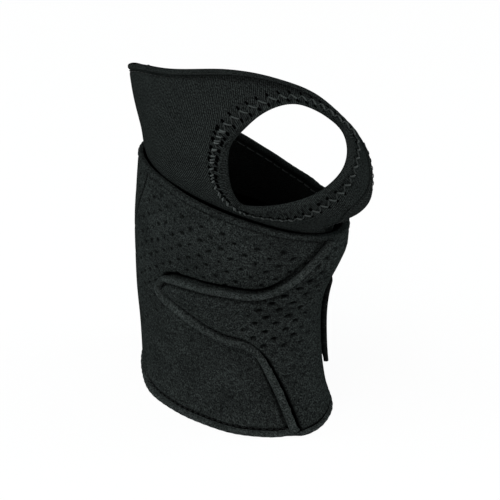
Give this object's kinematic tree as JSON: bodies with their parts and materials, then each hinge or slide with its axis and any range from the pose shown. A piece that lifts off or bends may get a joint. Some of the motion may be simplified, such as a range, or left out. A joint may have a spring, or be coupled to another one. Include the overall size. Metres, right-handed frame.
{
  "type": "wrist guard",
  "caption": "Soft wrist wrap: padded forearm cuff with a pointed closing flap and rear hook tab, and a stretch hand sleeve with a thumb hole.",
  "frame": {"origin": "the middle of the guard's outline, on the plane its bottom hem stands on", "axes": "+Z from the forearm to the fingers, +X towards the thumb, -Y towards the side with the pointed flap"},
  "size_m": [0.1039, 0.0576, 0.134],
  "materials": {
    "wrap_fabric": "black brushed perforated foam-backed fabric, matt nap",
    "sleeve_knit": "black fine diagonal stretch knit, low sheen",
    "lining": "black smooth jersey lining, matt",
    "edge_binding": "black knitted elastic edge tape, faint ribs",
    "ribbed_binding": "black ribbed knit tape, fine ribs across the edge",
    "hook_tape": "black moulded hook tape, rough speckle"
  },
  "bodies": {
    "guard": {"cuff_front_panel": "wrap_fabric", "cuff_back_panel": "wrap_fabric", "cuff_lining": "lining", "cuff_bottom_binding": "edge_binding", "cuff_top_binding": "edge_binding", "side_panel": "wrap_fabric", "side_upper_hem": "edge_binding", "side_lower_binding": "edge_binding", "rear_tab_root": "wrap_fabric", "hand_front_panel": "sleeve_knit", "hand_back_panel": "sleeve_knit", "hand_top_hem": "edge_binding", "hand_back_hem": "edge_binding", "thumb_hole_binding": "ribbed_binding", "thumb_side_seam": "edge_binding", "little_finger_seam": "edge_binding", "sleeve_joining_tape": "edge_binding"},
    "flap": {"flap_panel": "wrap_fabric", "flap_upper_hem": "edge_binding", "flap_lower_binding": "edge_binding", "flap_hook_patch": "hook_tape"},
    "rear_tab": {"rear_tab": "wrap_fabric", "rear_tab_hook": "hook_tape"}
  },
  "joints": [
    {"name": "flap_peel", "type": "hinge", "parent": "guard", "child": "flap", "pos_m": [0.02029, -0.01927, 0.0445], "axis": [0.1139, -0.1062, 0.9878], "range_deg": [0, 100]},
    {"name": "rear_tab_peel", "type": "hinge", "parent": "guard", "child": "rear_tab", "pos_m": [-0.01045, 0.02908, 0.03375], "axis": [0, 0, 1], "range_deg": [0, 100]}
  ]
}
